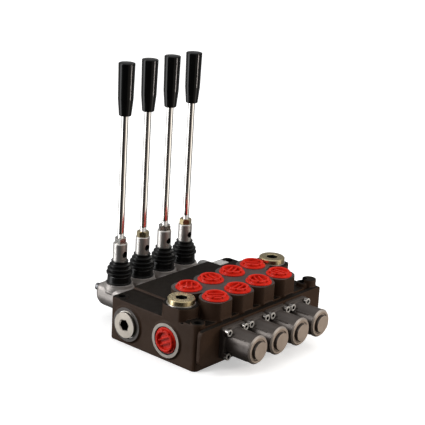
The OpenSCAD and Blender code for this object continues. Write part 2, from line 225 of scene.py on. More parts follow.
def shrunk(outline, inset):
    """The closed outline moved inward by inset along its corners' normals."""
    count = len(outline)
    area = sum(outline[k - 1][0] * outline[k][1] - outline[k][0] * outline[k - 1][1] for k in range(count))
    side = 1 if area > 0 else -1
    result = []
    for k in range(count):
        a, b, c = Vector(outline[k - 1]), Vector(outline[k]), Vector(outline[(k + 1) % count])
        d1, d2 = (b - a).normalized(), (c - b).normalized()
        n1, n2 = Vector((-d1.y, d1.x)) * side, Vector((-d2.y, d2.x)) * side
        n = (n1 + n2).normalized()
        p = b + n * inset / max(n.dot(n1), 0.4)
        result.append((p.x, p.y))
    return result


def prism(outline, z0, z1, material=None, edge=0.0, steps=3):
    """The outline raised from z0 to z1, with its top and bottom edges rounded by edge."""
    levels = [(0.0, z0), (0.0, z1)]
    if edge > 0:
        arc = [math.pi / 2 * s / steps for s in range(steps + 1)]
        low = [(edge * (1 - math.sin(a)), z0 + edge * (1 - math.cos(a))) for a in arc]
        high = [(edge * (1 - math.sin(a)), z1 - edge * (1 - math.cos(a))) for a in reversed(arc)]
        levels = low + high
    return loft([[(x, y, z) for x, y in shrunk(outline, inset)] for inset, z in levels], material)


def rectangle(x0, y0, x1, y1, corner=0.0, steps=6):
    points = [(x0, y0), (x1, y0), (x1, y1), (x0, y1)]
    return softened(points, corner, steps, closed=True) if corner > 0 else points


def block(x0, x1, y0, y1, z0, z1, material=None, corner=0.0, edge=0.0):
    return prism(rectangle(x0, y0, x1, y1, corner), z0, z1, material, edge)


def disc(radius, z0, z1, material=None, segments=96, edge=0.0):
    profile = [(0, z0), (radius, z0), (radius, z1), (0, z1)]
    return lathe(softened(profile, edge, 3) if edge > 0 else profile, material, segments)


def hexagon(across_flats, z0, z1, material=None, turn=0.0, edge=0.0):
    r = across_flats / 2 / math.cos(math.pi / 6)
    outline = [(r * math.cos(turn + k * math.pi / 3), r * math.sin(turn + k * math.pi / 3)) for k in range(6)]
    return prism(outline, z0, z1, material, edge)


def sweep(path, radius, material=None, sides=12):
    """A round wire along the path, with flat ends."""
    path = [Vector(p) for p in path]
    rings = []
    up = Vector((0, 0, 1))
    for k, p in enumerate(path):
        along = (path[min(k + 1, len(path) - 1)] - path[max(k - 1, 0)]).normalized()
        a = along.cross(up)
        a = a.normalized() if a.length > 1e-4 else Vector((1, 0, 0))
        b = a.cross(along).normalized()
        rings.append([tuple(p + (a * math.cos(w) + b * math.sin(w)) * radius)
                      for w in (2 * math.pi * s / sides for s in range(sides))])
    return loft(rings, material)


def moved(mesh, matrix):
    """A moved copy of a mesh."""
    copy = mesh.copy()
    copy.transform(matrix)
    return copy


def at(x=0.0, y=0.0, z=0.0):
    return Matrix.Translation((x, y, z))


TO_X = Matrix.Rotation(math.radians(90), 4, "Y")
TO_MINUS_X = Matrix.Rotation(math.radians(-90), 4, "Y")
# a shape's own Y turns up to the row's Z when it is laid along +X
ALONG_X = Matrix(((0, 0, 1, 0), (1, 0, 0, 0), (0, 1, 0, 0), (0, 0, 0, 1)))
TO_Y = Matrix.Rotation(math.radians(-90), 4, "X")
TO_MINUS_Y = Matrix.Rotation(math.radians(90), 4, "X")


def spin(degrees, axis="Z"):
    return Matrix.Rotation(math.radians(degrees), 4, axis)


def joined(meshes):
    """One mesh from several, with their materials."""
    bm = bmesh.new()
    slots = []
    for mesh in meshes:
        before = len(bm.faces)
        bm.from_mesh(mesh)
        bm.faces.ensure_lookup_table()
        for face in bm.faces[before:]:
            material = mesh.materials[face.material_index] if len(mesh.materials) else None
            if material not in slots:
                slots.append(material)
            face.material_index = slots.index(material)
    result = bpy.data.meshes.new("joined")
    bm.to_mesh(result)
    bm.free()
    for material in slots:
        result.materials.append(material)
    return result


def scratch(mesh):
    obj = bpy.data.objects.new("scratch", mesh)
    bpy.context.scene.collection.objects.link(obj)
    return obj


def evaluated(obj):
    graph = bpy.context.evaluated_depsgraph_get()
    return bpy.data.meshes.new_from_object(obj.evaluated_get(graph), depsgraph=graph)


def combined(base, tool, operation):
    """Boolean of two closed meshes. Faces made by the tool keep the tool's material."""
    a, b = scratch(base), scratch(tool)
    cut = a.modifiers.new("cut", "BOOLEAN")
    cut.operation = operation
    cut.object = b
    cut.solver = "MANIFOLD"
    cut.material_mode = "TRANSFER"
    result = evaluated(a)
    bpy.data.objects.remove(a)
    bpy.data.objects.remove(b)
    return result


def merged(meshes):
    """The union of closed meshes that may overlap."""
    result = meshes[0]
    for mesh in meshes[1:]:
        result = combined(result, mesh, "UNION")
    return result


def carved(base, tools):
    return combined(base, merged(tools), "DIFFERENCE")


def cast(meshes, voxel, rounds, material):
    """Overlapping solids fused into one casting with soft edges."""
    obj = scratch(joined(meshes))
    remesh = obj.modifiers.new("remesh", "REMESH")
    remesh.mode = "VOXEL"
    remesh.voxel_size = voxel
    smooth = obj.modifiers.new("smooth", "SMOOTH")
    smooth.iterations = rounds
    smooth.factor = 0.5
    result = evaluated(obj)
    bpy.data.objects.remove(obj)
    result.materials.clear()
    result.materials.append(material)
    result.polygons.foreach_set("material_index", np.zeros(len(result.polygons), np.int32))
    return result


def repaint(mesh, material, where):
    """Gives a material to the faces whose centres and normals pass a test."""
    count = len(mesh.polygons)
    centre = np.empty(count * 3)
    normal = np.empty(count * 3)
    index = np.empty(count, np.int32)
    mesh.polygons.foreach_get("center", centre)
    mesh.polygons.foreach_get("normal", normal)
    mesh.polygons.foreach_get("material_index", index)
    names = [m.name for m in mesh.materials]
    if material.name not in names:
        mesh.materials.append(material)
        names.append(material.name)
    index[where(centre.reshape(-1, 3), normal.reshape(-1, 3))] = names.index(material.name)
    mesh.polygons.foreach_set("material_index", index)
    return mesh


def piece(name, mesh, body="root", replaces=(), sharp=32.0, rides=True):
    """Puts a finished mesh into the scene, in metres, riding on a body."""
    mesh.name = name
    mesh.transform(Matrix.Scale(0.001, 4))
    mesh.polygons.foreach_set("use_smooth", np.ones(len(mesh.polygons), bool))
    mesh.set_sharp_from_angle(angle=math.radians(sharp))
    obj = scratch(mesh)
    obj.name = name
    weighted = obj.modifiers.new("normals", "WEIGHTED_NORMAL")
    weighted.keep_sharp = True
    final = evaluated(obj)
    obj.modifiers.clear()
    obj.data = final
    final.name = name
    bpy.data.meshes.remove(mesh)
    if replaces:
        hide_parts(*replaces)
    if rides:
        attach(obj, body)
    return obj


# ---- Materials ----


def material(name, low, high, rough, metal=0.0, tone=40.0, grain=900.0, bump=0.1, depth=0.0001,
             specular=0.5):
    """A procedural finish: two colours mixed by a slow noise, with uneven gloss and a fine grain."""
    mat = bpy.data.materials.new(name)
    mat.use_nodes = True
    nodes, links = mat.node_tree.nodes, mat.node_tree.links
    shader = nodes["Principled BSDF"]
    place = nodes.new("ShaderNodeTexCoord")

    def noise(size, detail, roughness=0.55):
        node = nodes.new("ShaderNodeTexNoise")
        node.inputs["Scale"].default_value = size
        node.inputs["Detail"].default_value = detail
        node.inputs["Roughness"].default_value = roughness
        links.new(place.outputs["Object"], node.inputs["Vector"])
        return node.outputs["Fac"]

    clouds = noise(tone, 5)
    ramp = nodes.new("ShaderNodeValToRGB")
    ramp.color_ramp.elements[0].position = 0.32
    ramp.color_ramp.elements[1].position = 0.68
    ramp.color_ramp.elements[0].color = (*low, 1)
    ramp.color_ramp.elements[1].color = (*high, 1)
    links.new(clouds, ramp.inputs["Fac"])
    links.new(ramp.outputs["Color"], shader.inputs["Base Color"])

    gloss = nodes.new("ShaderNodeMapRange")
    gloss.inputs["From Min"].default_value = 0.3
    gloss.inputs["From Max"].default_value = 0.7
    gloss.inputs["To Min"].default_value = rough[0]
    gloss.inputs["To Max"].default_value = rough[1]
    links.new(noise(tone * 5, 4), gloss.inputs["Value"])
    links.new(gloss.outputs["Result"], shader.inputs["Roughness"])

    relief = nodes.new("ShaderNodeBump")
    relief.inputs["Strength"].default_value = bump
    relief.inputs["Distance"].default_value = depth
    links.new(noise(grain, 3, 0.6), relief.inputs["Height"])
    links.new(relief.outputs["Normal"], shader.inputs["Normal"])

    shader.inputs["Metallic"].default_value = metal
    shader.inputs["Specular IOR Level"].default_value = specular
    return mat


PAINT = material("dark_paint", (0.035, 0.0195, 0.012), (0.046, 0.026, 0.0165), (0.46, 0.56),
                 tone=30, grain=700, bump=0.22, depth=0.0002, specular=0.12)
# A much darker copy of the same paint for faces that look up: painted shade on the tops.
PAINT_TOP_SHADE = material("paint_top_painted_shade", (0.009, 0.007, 0.0056), (0.013, 0.010, 0.008), (0.5, 0.6),
                     tone=30, grain=700, bump=0.18, depth=0.0002, specular=0.06)
MACHINED_DARK = material("machined_oiled", (0.070, 0.062, 0.058), (0.095, 0.085, 0.080), (0.40, 0.50),
                         metal=0.35, tone=60, grain=1500, bump=0.08, specular=0.3)
RING = material("ring_face", (0.16, 0.145, 0.13), (0.22, 0.20, 0.18), (0.32, 0.40),
                metal=1.0, tone=90, grain=1500, bump=0.08)
# Two copies of one screw steel: a darker, glossy one for the sides and a lighter, duller one for the head's
# end face, painted shade and painted light.
SCREW = material("screw_steel_painted_shade", (0.24, 0.225, 0.21), (0.32, 0.30, 0.285), (0.24, 0.32),
                 metal=1.0, tone=120, grain=1200, bump=0.03)
SCREW_FACE_LIT = material("screw_face_painted_light", (0.50, 0.48, 0.45), (0.58, 0.56, 0.53), (0.40, 0.50),
                      metal=0.2, tone=120, grain=1200, bump=0.03)
MACHINED = material("machined_bright", (0.52, 0.49, 0.46), (0.64, 0.61, 0.58), (0.26, 0.36),
                    metal=1.0, tone=90, grain=1800, bump=0.06)
RED = material("red_plastic", (0.54, 0.014, 0.005), (0.62, 0.020, 0.008), (0.32, 0.40),
               tone=60, grain=500, bump=0.03, specular=0.15)
ZINC = material("bright_zinc", (0.60, 0.58, 0.55), (0.72, 0.70, 0.66), (0.18, 0.26),
                metal=1.0, tone=120, grain=1200, bump=0.03)
YELLOW_ZINC = material("yellow_zinc", (0.56, 0.46, 0.26), (0.64, 0.54, 0.34), (0.25, 0.33),
                       metal=1.0, tone=110, grain=1200, bump=0.03)
ALUMINIUM = material("washer_metal", (0.62, 0.60, 0.57), (0.74, 0.72, 0.69), (0.30, 0.40),
                     metal=1.0, tone=150, grain=1500, bump=0.06)
CAST_ALU = material("cast_aluminium", (0.34, 0.315, 0.30), (0.43, 0.40, 0.38), (0.40, 0.52),
                    metal=0.6, tone=50, grain=650, bump=0.3, depth=0.0002)
CAP_PAINT = material("cap_casting", (0.060, 0.049, 0.043), (0.080, 0.067, 0.059), (0.34, 0.42),
                     metal=0.4, tone=45, grain=750, bump=0.08, depth=0.0002)
CAP_FACE = material("cap_face", (0.42, 0.34, 0.28), (0.50, 0.41, 0.34), (0.42, 0.52),
                    metal=0.4, tone=70, grain=1300, bump=0.12)
CAP_EDGE = material("cap_edge", (0.50, 0.44, 0.39), (0.60, 0.53, 0.47), (0.30, 0.38),
                    metal=0.7, tone=70, grain=1300, bump=0.08)
RUBBER = material("boot_rubber", (0.003, 0.003, 0.003), (0.005, 0.005, 0.005), (0.26, 0.36),
                  tone=70, grain=800, bump=0.1, specular=0.25)
SEAL = material("seal_rubber", (0.008, 0.008, 0.008), (0.014, 0.014, 0.014), (0.45, 0.6), tone=200)
CHROME = material("chrome_rod", (0.80, 0.78, 0.76), (0.86, 0.85, 0.83), (0.04, 0.08),
                  metal=1.0, tone=60, grain=500, bump=0.01)
SATIN_STEEL = material("socket_steel", (0.62, 0.60, 0.575), (0.72, 0.70, 0.675), (0.38, 0.46),
                       metal=1.0, tone=60, grain=1400, bump=0.03)
BLACK_PLASTIC = material("black_plastic", (0.0035, 0.0035, 0.0035), (0.005, 0.005, 0.005),
                         (0.05, 0.08), tone=50, grain=300, bump=0.01, specular=0.2)
BRIGHT_PLATE = material("bright_plate", (0.25, 0.228, 0.20), (0.33, 0.30, 0.265), (0.30, 0.38),
                        metal=1.0, tone=70, grain=1500, bump=0.1)
# Near-black for the insides of holes and hex sockets and the side walls of the side ports' rings: painted
# shade.
PAINTED_SHADE_BLACK = material("painted_shade_black", (0.004, 0.004, 0.004), (0.007, 0.006, 0.005), (0.6, 0.7),
                  tone=100, specular=0.1)
CAP_GREY = material("grey_cap", (0.30, 0.30, 0.29), (0.36, 0.36, 0.35), (0.4, 0.5), metal=0.5, tone=80)
GROUND = material("ground_steel", (0.50, 0.50, 0.50), (0.60, 0.60, 0.60), (0.14, 0.24),
                  metal=1.0, tone=80, grain=1600, bump=0.05)
SPRING = material("spring_steel", (0.12, 0.12, 0.125), (0.19, 0.19, 0.20), (0.28, 0.4),
                  metal=1.0, tone=120, grain=900, bump=0.1)
LABEL = material("label_plate", (0.60, 0.60, 0.58), (0.68, 0.68, 0.66), (0.34, 0.42),
                 metal=0.4, tone=90, grain=1500, bump=0.06)

# ---- Body casting ----


def each_port():
    return [(x, ROW_Y[i]) for i in SECTIONS for x in (PORT_A_X, PORT_B_X)]


def end_face(x, side):
    """The place of a side port: z points out of the end face."""
    return at(x, side * BLOCK_Y, GALLERY_Z) @ (TO_Y if side > 0 else TO_MINUS_Y)


def wall_outline():
    """The spring-side wall in Y and Z, with rounder corners at its near end than at its far end."""
    y0, y1 = -BLOCK_Y - 4, BLOCK_Y + 5.5
    near = [(y0, WALL_BOTTOM), (y0, WALL_TOP), (0, WALL_TOP, 0), (0, WALL_BOTTOM, 0)]
    far = [(0, WALL_BOTTOM, 0), (0, WALL_TOP, 0), (y1, WALL_TOP), (y1, WALL_BOTTOM)]
    near_curve = [p for p in softened(near, 7, 8, closed=True) if p[0] < -1]
    far_curve = [p for p in softened(far, 4, 6, closed=True) if p[0] > 1]
    return near_curve + far_curve


def body_solids(lift):
    """The casting's blocks, bosses and lugs. Faces to be machined stand proud by lift."""
    wall = prism(wall_outline(), WALL_X - 5.5, WALL_X + 0.3)
    solids = [
        block(BLOCK_X0, BLOCK_X1, -BLOCK_Y, BLOCK_Y, 0, BLOCK_H, corner=6),
        block(BLOCK_X0, BLOCK_X0 + 60, -DECK_Y, DECK_Y, BLOCK_H - 6, DECK_H, corner=3),
        block(44, BLOCK_X1 - 6, -BLOCK_Y, -BLOCK_Y + 21, BLOCK_H - 6, 54),
        block(BLOCK_X1 - 4, WALL_X - 5, -BLOCK_Y + 3, BLOCK_Y - 3, 15, GROOVE_Z),
        moved(wall, ALONG_X),
        block(PORT_A_X, PORT_B_X, ROW_Y[1], ROW_Y[4], BLOCK_H - 5, PORT_Z + lift),
    ]
    for x, y in each_port():
        radius = BOSS_A_R if x == PORT_A_X else BOSS_B_R
        solids.append(moved(disc(radius, BLOCK_H - 5, PORT_Z + lift), at(x, y)))
    for plug in (NEAR_PLUG, FAR_PLUG):
        solids.append(moved(disc(PLUG_BOSS_R, BLOCK_H - 5, plug.z + lift), at(plug.x, plug.y)))
    for x, y, r, top in LUGS:
        solids.append(moved(disc(r, BLOCK_H - 10, top), at(x, y)))
    return solids


def body_trims():
    """The B bosses end flat above the groove, and the plug bosses at the end faces."""
    trims = [block(WALL_X - 8, WALL_X + 20, -80, 80, 52.2, 100)]
    for y0 in (-BLOCK_Y - 10, BLOCK_Y):
        trims.append(block(-20, 50, y0, y0 + 10, BLOCK_H - 6, 100))
    return trims


def port_cuts():
    """Machined faces and bores of the plugs' bosses, the work ports and the side ports."""
    cuts = []
    for plug in (NEAR_PLUG, FAR_PLUG):
        cuts.append(moved(disc(16.8, 0, 20, MACHINED_DARK), at(*plug)))
        cuts.append(moved(disc(24, 0.0, 20, MACHINED_DARK), at(plug.x, plug.y, plug.z + 6.5)))
        cuts.append(moved(disc(SIDE_PORT_R, -PORT_DEPTH, 1, MACHINED), at(*plug)))
        cuts.append(moved(disc(6, GALLERY_Z - plug.z, 1, MACHINED_DARK), at(*plug)))
    for x, y in each_port():
        cuts.append(moved(disc(WORK_PORT_R, PORT_Z - PORT_DEPTH, PORT_Z + 1, MACHINED), at(x, y)))
        cuts.append(moved(disc(PASSAGE_R, SPOOL_Z, PORT_Z, MACHINED_DARK), at(x, y)))
    for x in (PUMP_X, TANK_X):
        gallery = disc(GALLERY_R, -BLOCK_Y + 4, BLOCK_Y - 4, MACHINED_DARK)
        cuts.append(moved(gallery, at(x, 0, GALLERY_Z) @ TO_Y))
    for x, side in SIDE_PORTS:
        rim = RING if x == TANK_X else MACHINED_DARK
        cuts.append(moved(disc(SIDE_PORT_R, -PORT_DEPTH, 2, MACHINED), end_face(x, side)))
        cuts.append(moved(disc(16.6, 0, 5, MACHINED_DARK), end_face(x, side)))
        cuts.append(moved(disc(22, PAD + 0.9, 9, rim), end_face(x, side)))
    return cuts


def section_cuts(y):
    """The spool bore, its grooves and the screw holes of the section at y."""
    spool_line = at(0, y, SPOOL_Z) @ TO_X
    cuts = [
        moved(disc(SPOOL_R, BLOCK_X0 - 1, WALL_X + 1, MACHINED), spool_line),
        moved(disc(COUNTERBORE_R, WALL_X - 8, WALL_X + 1, MACHINED), spool_line),
    ]
    for x in (-63, 58):
        cuts.append(moved(disc(10.5, x, x + 3, MACHINED_DARK), spool_line))
    for dy in (-CAP_SCREW, CAP_SCREW):
        for dz in (-CAP_SCREW, CAP_SCREW):
            hole = disc(SCREW_HOLE_R, WALL_X - 14, WALL_X + 1, MACHINED_DARK, 32)
            cuts.append(moved(hole, at(0, y + dy, SPOOL_Z + dz) @ TO_X))
    for dy in (-HOUSING_SCREW_Y, HOUSING_SCREW_Y):
        hole = disc(SCREW_HOLE_R, BLOCK_X0 - 1, BLOCK_X0 + 13, MACHINED_DARK, 32)
        cuts.append(moved(hole, at(0, y + dy, HOUSING_SCREW_Z) @ TO_X))
    return cuts


def body_casting():
    """The valve body: fused and softened as a casting, then machined."""
    lift = 0.35
    rough = carved(merged(body_solids(lift)), body_trims())
    pads = [moved(disc(21.3, -3, PAD + lift), end_face(x, side)) for x, side in SIDE_PORTS]
    # the rings stand a little proud of the pads, with near-black side walls: painted shade
    ring = disc(20.2, PAD - 2, PAD + 1.2, PAINTED_SHADE_BLACK, edge=0.2)
    rings = [moved(ring, end_face(x, side)) for x, side in SIDE_PORTS]
    mesh = cast([rough] + pads, 0.75, 3, PAINT)
    # faces that look up take the darker copy of the paint: painted shade
    repaint(mesh, PAINT_TOP_SHADE, lambda c, n: n[:, 2] > 0.8)

    cuts = [block(-40, 90, -78, 78, PORT_Z, PORT_Z + 20, MACHINED_DARK)]
    cuts.append(block(WALL_X, WALL_X + 5, -120, 120, -5, 60, PAINT))
    cuts += port_cuts()
    for i in SECTIONS:
        cuts += section_cuts(ROW_Y[i])
    relief_line = at(0, RELIEF.y, RELIEF.z) @ TO_X
    cuts.append(moved(disc(5.55, BLOCK_X0 - 1, BLOCK_X0 + 14, MACHINED), relief_line))
    cuts.append(moved(disc(2, BLOCK_X0 + 13, PUMP_X, MACHINED_DARK, 32), relief_line))
    for x in (-MOUNT_X, MOUNT_X):
        for y in (-MOUNT_Y, MOUNT_Y):
            # the mounting holes are lined near-black: painted shade
            cuts.append(moved(disc(MOUNT_R, -1, 70, PAINTED_SHADE_BLACK, 48), at(x, y)))
    mesh = carved(merged([mesh] + rings), cuts)
    piece("body_casting", mesh, replaces=["valve_body"], sharp=38)


body_casting()

# ---- Label plate ----


def label_plate():
    """A blank plate with a sunk field, held by two rivets."""
    lo, hi = corners("nameplate")
    outline = rectangle(lo.x, lo.y, hi.x, hi.y, 1.2)
    plate = prism(outline, lo.z, hi.z, LABEL, edge=0.15)
    well = prism(rectangle(lo.x + 1.2, lo.y + 4.2, hi.x - 1.2, hi.y - 4.2, 0.6), hi.z - 0.18, hi.z + 1, LABEL)
    x = (lo.x + hi.x) / 2
    holes = [moved(disc(1.05, lo.z - 1, hi.z + 1, LABEL, 32), at(x, y)) for y in (lo.y + 2.5, hi.y - 2.5)]
    piece("label_plate", carved(plate, [well] + holes), replaces=["nameplate"])
    profile = [(0, 0), (1, 0), (1, 0.8, 0), (1.6, 0.8), (1.5, 1.2), (0.9, 1.5), (0, 1.52)]
    rivet = lathe(softened(profile, 0.2, 3), ZINC, 32)
    rivets = [moved(rivet, at(x, y, lo.z)) for y in (lo.y + 2.5, hi.y - 2.5)]
    piece("label_rivets", joined(rivets), replaces=["nameplate_rivets"])


label_plate()

# ---- Protective caps ----


def protective_cap(stem):
    """Pressed-in plastic cap: flange, notched collar, recess with two ribs, and stem below."""
    profile = softened([
        (0, -8.9), (stem - 1.2, -8.9), (stem, -7.6), (stem, 0, 0.2), (15.2, 0), (15.4, 1.0), (14.9, 1.7),
        (13.6, 1.7), (13.2, 2.4), (12.8, 4.6), (12.0, 5.0), (10.5, 5.0), (9.9, 4.5), (9.5, 1.6), (9.0, 1.2),
        (0, 1.2)], 0.25, 3)
    cap = lathe(profile, RED, 128)
    notches = []
    for k in range(8):
        notch = block(11.9, 16, -1.5, 1.5, 2.9, 6, RED, corner=0.6)
        notches.append(moved(notch, spin(45 * k + 22.5)))
    cap = carved(cap, notches)
    ribs = []
    for x in (-2.9, 2.9):
        ribs.append(block(x - 0.8, x + 0.8, -8.6, 8.6, 0.6, 3.9, RED, corner=0.5, edge=0.35))
    return merged([cap] + ribs)


# how far each cap is turned, in degrees
TURN_A = {1: 40, 2: 75, 3: 20, 4: -35}
TURN_B = {1: -40, 2: 10, 3: 60, 4: 95}
port_cap = protective_cap(10.3)
for i in SECTIONS:
    for side, x, turns in (("a", PORT_A_X, TURN_A), ("b", PORT_B_X, TURN_B)):
        piece(f"port_cap_{side}{i}", moved(port_cap, at(x, ROW_Y[i], PORT_Z) @ spin(turns[i])),
              replaces=[f"work_port_caps_{side}"])
piece("side_port_cap_red", moved(protective_cap(12.4), end_face(TANK_X, -1) @ spin(-60)),
      replaces=["side_port_cap"])

# ---- Screw plugs and washers ----


def socket_plug(finish, top, edge):
    """Hexagon-socket plug with a chamfered collar and a countersunk socket."""
    base = 1.5
    collar = lathe(softened([
        (0, -11.8), (12.2, -11.8), (13.15, -10.8), (13.15, base, 0), (15.2, base), (15.5, base + 0.4),
        (15.5, top - edge), (15.5 - edge, top), (0, top)], 0.3, 3), finish, 128)
    # the socket's walls and floor are near-black: painted shade
    socket = hexagon(12.4, top - 8, top + 1, PAINTED_SHADE_BLACK)
    sink = [(0, top - 0.5), (7.0, top - 0.5), (7.6, top + 0.1), (7.6, top + 1), (0, top + 1)]
    mouth = lathe(sink, finish, 64)
    return carved(collar, [socket, mouth])


def washer():
    profile = [(13.25, 0), (16.2, 0), (16.2, 1.5), (13.25, 1.5)]
    return lathe(softened(profile, 0.3, 3, closed=True), ALUMINIUM, 128)


yellow_plug = socket_plug(YELLOW_ZINC, 7.5, 1.0)
silver_plug = socket_plug(BRIGHT_PLATE, 5.5, 0.5)
piece("top_plug_near", moved(yellow_plug, at(*NEAR_PLUG) @ spin(15)),
      replaces=["top_port_plugs"])
piece("top_plug_far", moved(yellow_plug, at(*FAR_PLUG)), replaces=["top_port_plugs"])
piece("side_plug", moved(silver_plug, end_face(PUMP_X, -1) @ spin(12)),
      replaces=["side_port_plug"])
for name, x in (("pump", PUMP_X), ("tank", TANK_X)):
    piece(f"end_plug_{name}", moved(silver_plug, end_face(x, 1)),
          replaces=["end_plugs"])
washer_places = [at(*NEAR_PLUG), at(*FAR_PLUG), end_face(PUMP_X, -1), end_face(PUMP_X, 1),
                 end_face(TANK_X, 1)]
piece("sealing_washers", joined([moved(washer(), place) for place in washer_places]),
      replaces=["plug_washers"])

# ---- Spring side ----

CAP_X = corners("spring_cap_1")[1].x - 3.25
CAP_R = 16.65


def barrel_rings():
    """Barrel along Z with two cast lines and a flatter strip between them, then a stepped end."""
    count = 144

    def ring(z, radius, relief):
        points = []
        for s in range(count):
            a = 2 * math.pi * s / count
            r = radius
            for line in (42, 138):
                off = math.degrees(a) - line
                r += relief * 0.75 * math.exp(-(off / 2.3) ** 2)
            if 42 < math.degrees(a) < 138:
                edge = min(math.degrees(a) - 42, 138 - math.degrees(a))
                r -= relief * 0.5 * min(edge / 5, 1)
            points.append((r * math.cos(a), r * math.sin(a), z))
        return points

    length = CAP_X - WALL_X
    rings = [ring(1, CAP_R, 1), ring(length - 10.2, CAP_R, 1), ring(length - 9.6, CAP_R - 0.35, 0.2),
             ring(length - 4.4, CAP_R - 0.35, 0), ring(length - 4.0, CAP_R, 0), ring(length - 2.2, CAP_R, 0)]
    steps = [(CAP_R - 0.15, length - 1.9), (CAP_R - 1.5, length - 0.35), (CAP_R - 1.9, length - 0.05),
             (CAP_R - 2.3, length), (12.4, length), (12.1, length - 0.2), (11.9, length - 1.1),
             (10.7, length - 1.1), (10.5, length - 0.9), (10.4, length + 0.3), (10.4, length + 2.6),
             (10.15, length + 3.05), (9.7, length + 3.25), (5, length + 3.25)]
    for r, z in steps:
        rings.append(ring(z, r, 0))
    return rings, length


def spring_cap():
    """Cap along Z: barrel, square flange with four screw pockets, and a machined end."""
    rings, length = barrel_rings()
    barrel = loft(rings, CAP_PAINT)
    flange = prism(rectangle(-18.5, -18.5, 18.5, 18.5, 4.5), -1, 6, CAP_PAINT, edge=0.9)
    shape = merged([barrel, flange])
    fillet = lathe([(0, 3), (18.2, 3), (18.2, 6), (17.4, 6.35), (16.9, 7), (16.5, 8), (0, 8)], CAP_PAINT, 96)
    shape = merged([shape, fillet])
    cuts = [disc(13.5, -2, 39.3, MACHINED), block(-30, 30, -30, 30, -5, 0, MACHINED_DARK)]
    for y in (-CAP_SCREW, CAP_SCREW):
        for x in (-CAP_SCREW, CAP_SCREW):
            cuts.append(moved(disc(2.75, -2, 12, MACHINED, 32), at(x, y)))
            pocket = lathe(softened([(0, 6), (4.6, 6), (4.6, 12), (5.0, 14), (0, 14)], 0.3, 2), CAP_PAINT, 48)
            cuts.append(moved(pocket, at(x, y)))
    shape = carved(shape, cuts)
    rim = length - 2.0
    repaint(shape, CAP_EDGE, lambda c, n: (c[:, 2] > rim) & (np.hypot(c[:, 0], c[:, 1]) > 14.0))
    repaint(shape, CAP_FACE,
            lambda c, n: (c[:, 2] > rim) & (np.hypot(c[:, 0], c[:, 1]) < 14.8) & (n[:, 2] > 0.5))
    return shape


cap_shape = spring_cap()
for i in SECTIONS:
    piece(f"spring_cap_cast_{i}", moved(cap_shape, at(WALL_X, ROW_Y[i], SPOOL_Z) @ ALONG_X),
          replaces=[f"spring_cap_{i}"])


def cap_screw(shank, finish):
    """M5 hexagon-socket cap screw, its head standing on z = 0."""
    profile = softened([(0, -shank), (1.9, -shank), (2.45, -shank + 0.6), (2.45, 0, 0), (4.1, 0), (4.25, 0.2),
                        (4.25, 4.5), (3.8, 5), (0, 5)], 0.2, 3)
    screw = lathe(profile, finish, 64)
    mouth = lathe([(0, 4.6), (2.1, 4.6), (2.6, 5.1), (0, 5.1)], finish, 48)
    # the hex socket is lined near-black: painted shade
    screw = carved(screw, [hexagon(4, 2.2, 5.5, PAINTED_SHADE_BLACK), mouth])
    # the head's end face takes the lighter copy of the steel: painted light
    repaint(screw, SCREW_FACE_LIT, lambda c, n: (n[:, 2] > 0.5) & (c[:, 2] > 4.5))
    return screw


screw = cap_screw(17.9, SCREW)
screws = []
for i in SECTIONS:
    for k, (side_y, side_z) in enumerate(((-1, -1), (1, -1), (1, 1), (-1, 1))):
        head = at(WALL_X + 6, ROW_Y[i] + side_y * CAP_SCREW, SPOOL_Z + side_z * CAP_SCREW)
        screws.append(moved(screw, head @ TO_X @ spin(17 * i + 29 * k)))
piece("spring_cap_bolts", joined(screws), replaces=["spring_cap_screws"])

# ---- Lever side ----

HOUSING_X0 = corners("lever_housing_1")[0].x
HALF = 17.0
TOP = 43.0
SEAT_Z = 47.5


